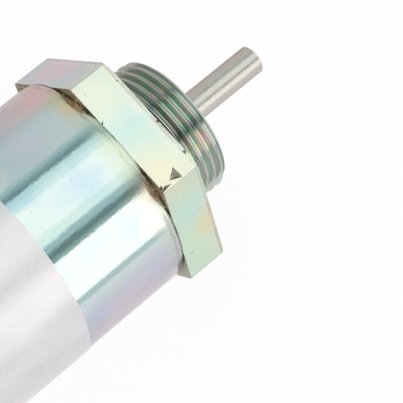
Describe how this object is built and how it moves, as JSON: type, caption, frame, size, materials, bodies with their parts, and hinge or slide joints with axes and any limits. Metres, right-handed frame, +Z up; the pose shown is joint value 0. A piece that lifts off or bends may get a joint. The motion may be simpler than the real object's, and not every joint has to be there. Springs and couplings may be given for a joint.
{
  "type": "fuel shutoff solenoid",
  "caption": "Round steel solenoid with a hexagon and threaded nose; a sprung pin stands out of the nose and is drawn back by the coil.",
  "frame": {"origin": "centre of the hexagon's front face, which seats on the engine", "axes": "+X along the axis towards the pin's free end, +Z up, normal to a flat of the hexagon"},
  "size_m": [0.1027, 0.0416, 0.0375],
  "materials": {
    "plated_steel": "turned steel, clear zinc plating with a faint rainbow tint",
    "can_steel": "drawn steel tube, clear zinc plating with a faint rainbow tint",
    "ground_steel": "ground bare steel",
    "turned_steel": "turned bare steel",
    "spring_steel": "drawn spring wire",
    "bronze": "sintered bronze",
    "brass": "drawn brass",
    "label_film": "satin pale film, bare",
    "nylon": "moulded natural nylon",
    "cap_plastic": "moulded black nylon, fine grain",
    "winding_copper": "enamelled copper wire",
    "coil_tape": "polyester tape",
    "fibre": "vulcanised fibre",
    "seal_rubber": "moulded nitrile rubber"
  },
  "bodies": {
    "housing": {"front_housing": "plated_steel", "can": "can_steel", "label": "label_film", "guide_bush": "bronze", "front_stop_washer": "brass", "wiper_seal": "seal_rubber", "seal_retainer": "plated_steel", "guide_tube": "brass", "bobbin": "nylon", "pull_in_winding": "winding_copper", "hold_winding": "winding_copper", "winding_tape": "coil_tape", "rear_pole": "turned_steel", "anti_stick_shim": "brass", "return_spring": "spring_steel", "disc_spring": "spring_steel", "rear_plate": "turned_steel", "terminal_pins": "brass", "insulating_disc": "fibre", "rear_cover": "cap_plastic", "front_o_ring": "seal_rubber", "rear_o_ring": "seal_rubber", "grommet": "seal_rubber"},
    "armature": {"push_pin": "ground_steel", "plunger": "turned_steel", "pin_clip": "spring_steel"}
  },
  "joints": [
    {"name": "plunger_slide", "type": "slide", "parent": "housing", "child": "armature", "axis": [1, 0, 0], "range_m": [-0.01, 0], "stiffness_N_per_m": 400, "springref_m": 0.01, "deforming": ["return_spring"]}
  ]
}
